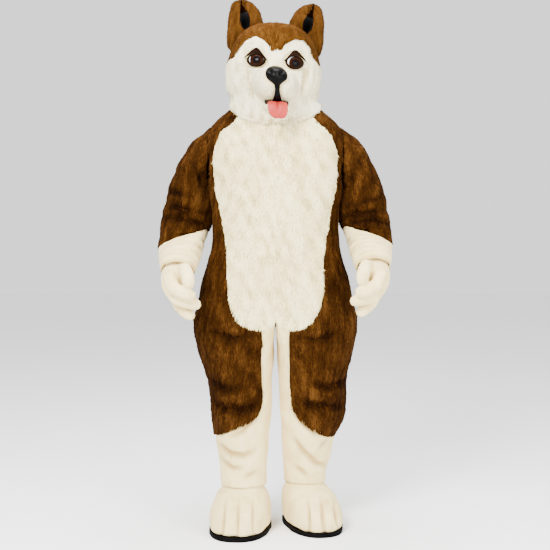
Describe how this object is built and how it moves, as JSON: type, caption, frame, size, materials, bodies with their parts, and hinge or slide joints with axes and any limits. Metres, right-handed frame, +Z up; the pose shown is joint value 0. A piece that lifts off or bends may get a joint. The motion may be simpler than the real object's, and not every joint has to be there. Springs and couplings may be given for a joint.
{
  "type": "mascot costume",
  "caption": "Full-body dog mascot costume with a big head, furry suit, padded gloves and boots, hollow and standing as worn.",
  "frame": {"origin": "middle of the shoulder line, inside the suit, where the wearer's shoulders carry it", "axes": "+Z up, -Y the way the wearer faces, +X the wearer's left; metres"},
  "size_m": [0.88, 0.498, 1.9499],
  "materials": {
    "brown_fur": "long soft pile",
    "cream_fur": "long soft pile",
    "white_fur": "long soft pile",
    "white_plush": "short plush",
    "brown_eye": "gloss",
    "dark_lid": "smooth felt",
    "black_gloss": "gloss",
    "black_lining": "satin",
    "pink_cloth": "smooth satin",
    "black_sole": "matt"
  },
  "bodies": {
    "root": {"belly_left": "cream_fur", "front_left": "brown_fur", "back_left": "brown_fur", "leg_left": "white_plush", "sleeve_left": "brown_fur", "forearm_left": "white_plush", "glove_left": "white_plush", "boot_left": "white_plush", "sole_left": "black_sole", "crown_left": "brown_fur", "cheek_left": "white_fur", "eye_left": "brown_eye", "eyelid_left": "dark_lid", "ear_left": "brown_fur", "ear_lining_left": "black_lining", "belly_right": "cream_fur", "front_right": "brown_fur", "back_right": "brown_fur", "leg_right": "white_plush", "sleeve_right": "brown_fur", "forearm_right": "white_plush", "glove_right": "white_plush", "boot_right": "white_plush", "sole_right": "black_sole", "crown_right": "brown_fur", "cheek_right": "white_fur", "eye_right": "brown_eye", "eyelid_right": "dark_lid", "ear_right": "brown_fur", "ear_lining_right": "black_lining", "muzzle": "white_fur", "nose": "black_gloss", "philtrum": "black_gloss", "jaw": "white_fur", "mouth_lining": "black_lining", "tongue": "pink_cloth"}
  },
  "joints": []
}
